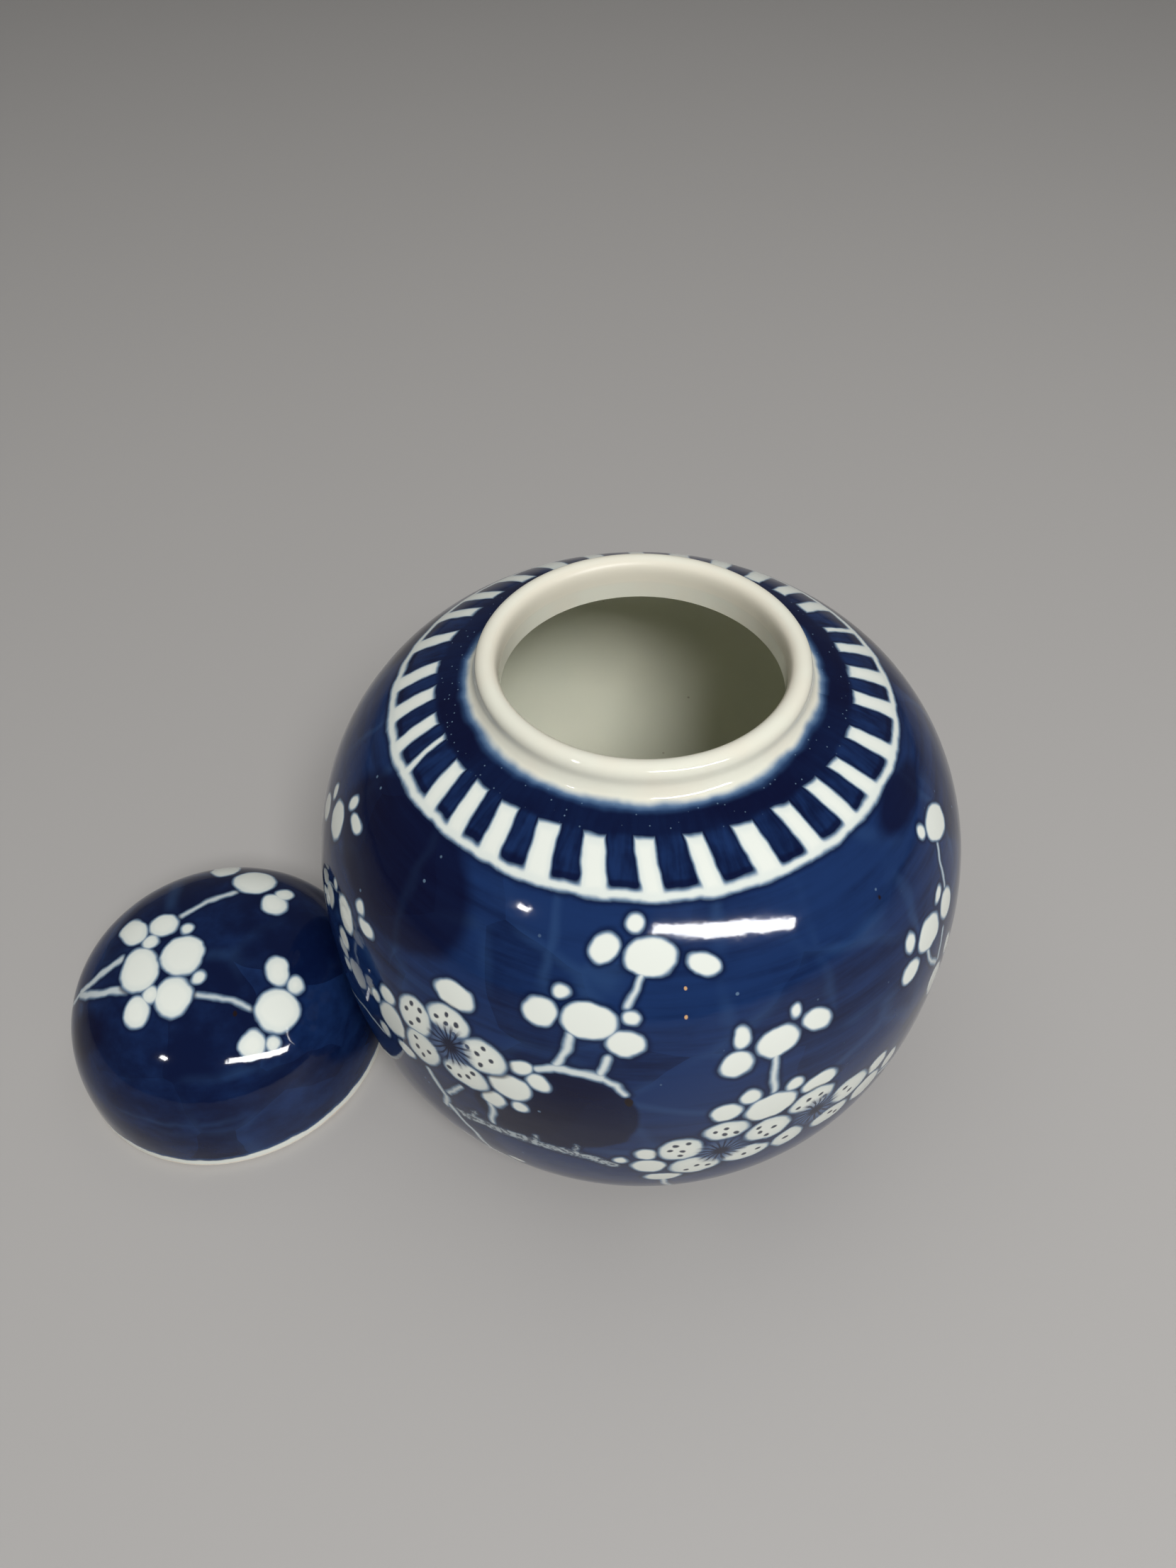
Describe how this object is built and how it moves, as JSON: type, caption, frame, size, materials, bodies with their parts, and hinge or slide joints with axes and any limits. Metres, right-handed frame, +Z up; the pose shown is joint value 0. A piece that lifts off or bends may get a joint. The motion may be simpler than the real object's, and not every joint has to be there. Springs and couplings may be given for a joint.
{
  "type": "ginger jar",
  "caption": "Squat round porcelain ginger jar with a short rolled neck, and its domed cap lid taken off and lying beside it.",
  "frame": {"origin": "the jar's upright axis, on the plane that its foot ring and the lid's rim stand on", "axes": "+Z up along the jar's axis; -Y faces the camera; the lid lies towards -X"},
  "size_m": [0.2211, 0.1502, 0.119],
  "materials": {
    "cobalt_glaze": "glossy clear glaze over brushed cobalt"
  },
  "bodies": {
    "jar": {"jar_body": "cobalt_glaze"},
    "lid": {"lid": "cobalt_glaze"}
  },
  "joints": [
    {"name": "lid_lift", "type": "slide", "parent": "jar", "child": "lid", "axis": [-0.6946, -0.1325, 0.7071], "range_m": [0, 0.12]}
  ]
}
